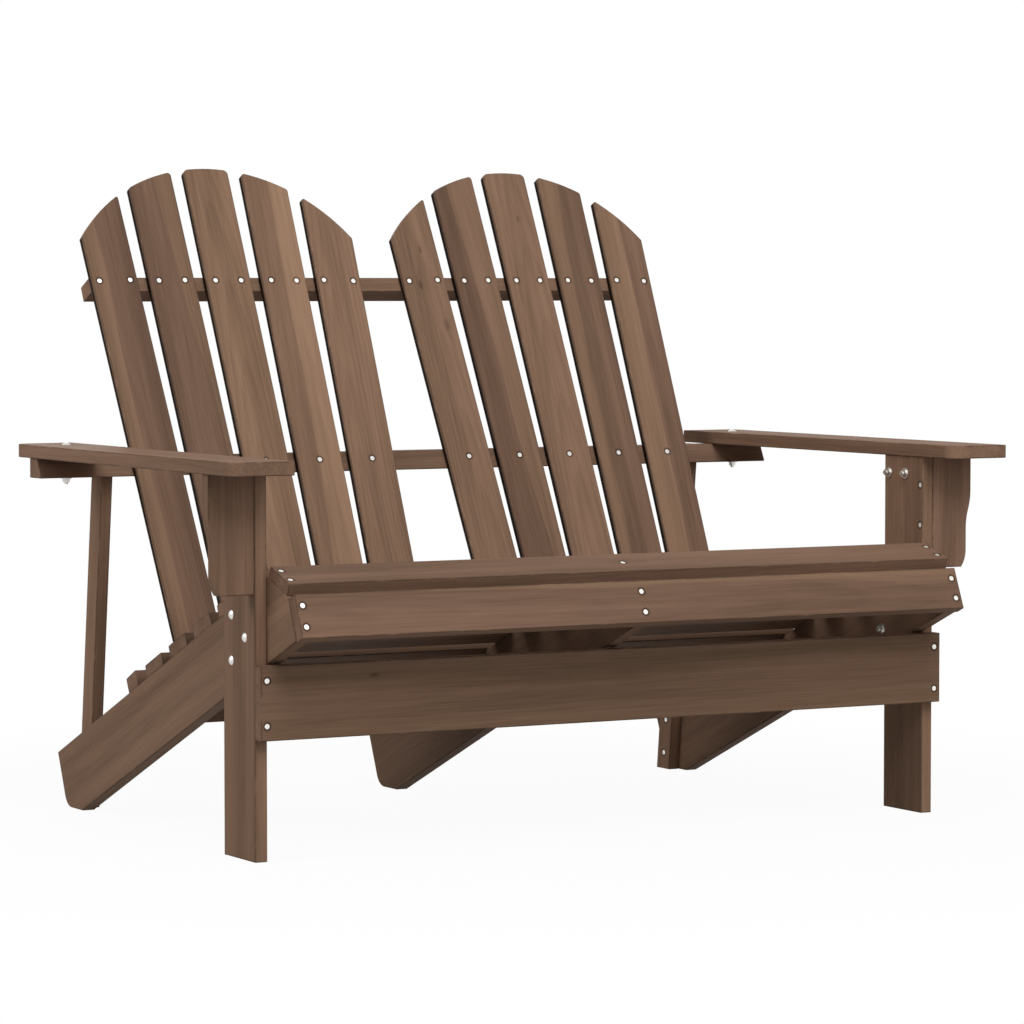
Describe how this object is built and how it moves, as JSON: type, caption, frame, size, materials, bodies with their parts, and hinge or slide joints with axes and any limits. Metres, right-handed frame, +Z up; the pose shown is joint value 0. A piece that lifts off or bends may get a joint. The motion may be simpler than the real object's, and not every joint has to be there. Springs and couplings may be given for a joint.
{
  "type": "adirondack loveseat",
  "caption": "Wooden two-seat garden chair with sloping slatted seat, two fan-shaped slatted backs, wide flat arms, edge-on front legs and sloping stringers that form its rear feet.",
  "frame": {"origin": "on the floor, under the middle of the whole seat's width and depth", "axes": "+X along the seat to its right end as seen from the front, +Y from the front to the back, +Z up"},
  "size_m": [1.245, 0.89, 0.9508],
  "materials": {
    "boards": "mid-brown stained softwood with visible grain and lighter sapwood streaks, matt to satin",
    "dowels": "plain light hardwood, unstained",
    "fasteners": "bright zinc-plated steel"
  },
  "bodies": {
    "root": {"apron": "boards", "apron_screws": "fasteners", "arm_bolt_nuts": "fasteners", "arm_bolt_washers": "fasteners", "arm_bolts": "fasteners", "arm_bracket_left": "boards", "arm_bracket_right": "boards", "arm_cleat_left": "boards", "arm_cleat_right": "boards", "arm_cleat_screws": "fasteners", "arm_left": "boards", "arm_right": "boards", "back_slat_foot_screws": "fasteners", "back_slat_left_1": "boards", "back_slat_left_2": "boards", "back_slat_left_3": "boards", "back_slat_left_4": "boards", "back_slat_left_5": "boards", "back_slat_middle_screws": "fasteners", "back_slat_right_1": "boards", "back_slat_right_2": "boards", "back_slat_right_3": "boards", "back_slat_right_4": "boards", "back_slat_right_5": "boards", "back_slat_top_screws": "fasteners", "brace_dowels": "dowels", "bracket_screws": "fasteners", "cleat_bolt_nuts": "fasteners", "cleat_bolt_washers": "fasteners", "cleat_bolts": "fasteners", "cross_brace_left": "boards", "cross_brace_right": "boards", "front_leg_left": "boards", "front_leg_right": "boards", "front_seat_slat": "boards", "front_slat_screws": "fasteners", "leg_bolt_nuts": "fasteners", "leg_bolt_washers": "fasteners", "leg_bolts": "fasteners", "lower_back_rail": "boards", "lower_rail_screws": "fasteners", "middle_back_rail": "boards", "middle_stringer": "boards", "nose_board": "boards", "nose_screws": "fasteners", "post_foot_screws": "fasteners", "post_rail_screws": "fasteners", "rear_post_left": "boards", "rear_post_right": "boards", "seat_slat_1": "boards", "seat_slat_2": "boards", "seat_slat_3": "boards", "seat_slat_4": "boards", "seat_slat_5": "boards", "seat_slat_screws": "fasteners", "side_stringer_left": "boards", "side_stringer_right": "boards", "top_back_rail": "boards"}
  },
  "joints": []
}
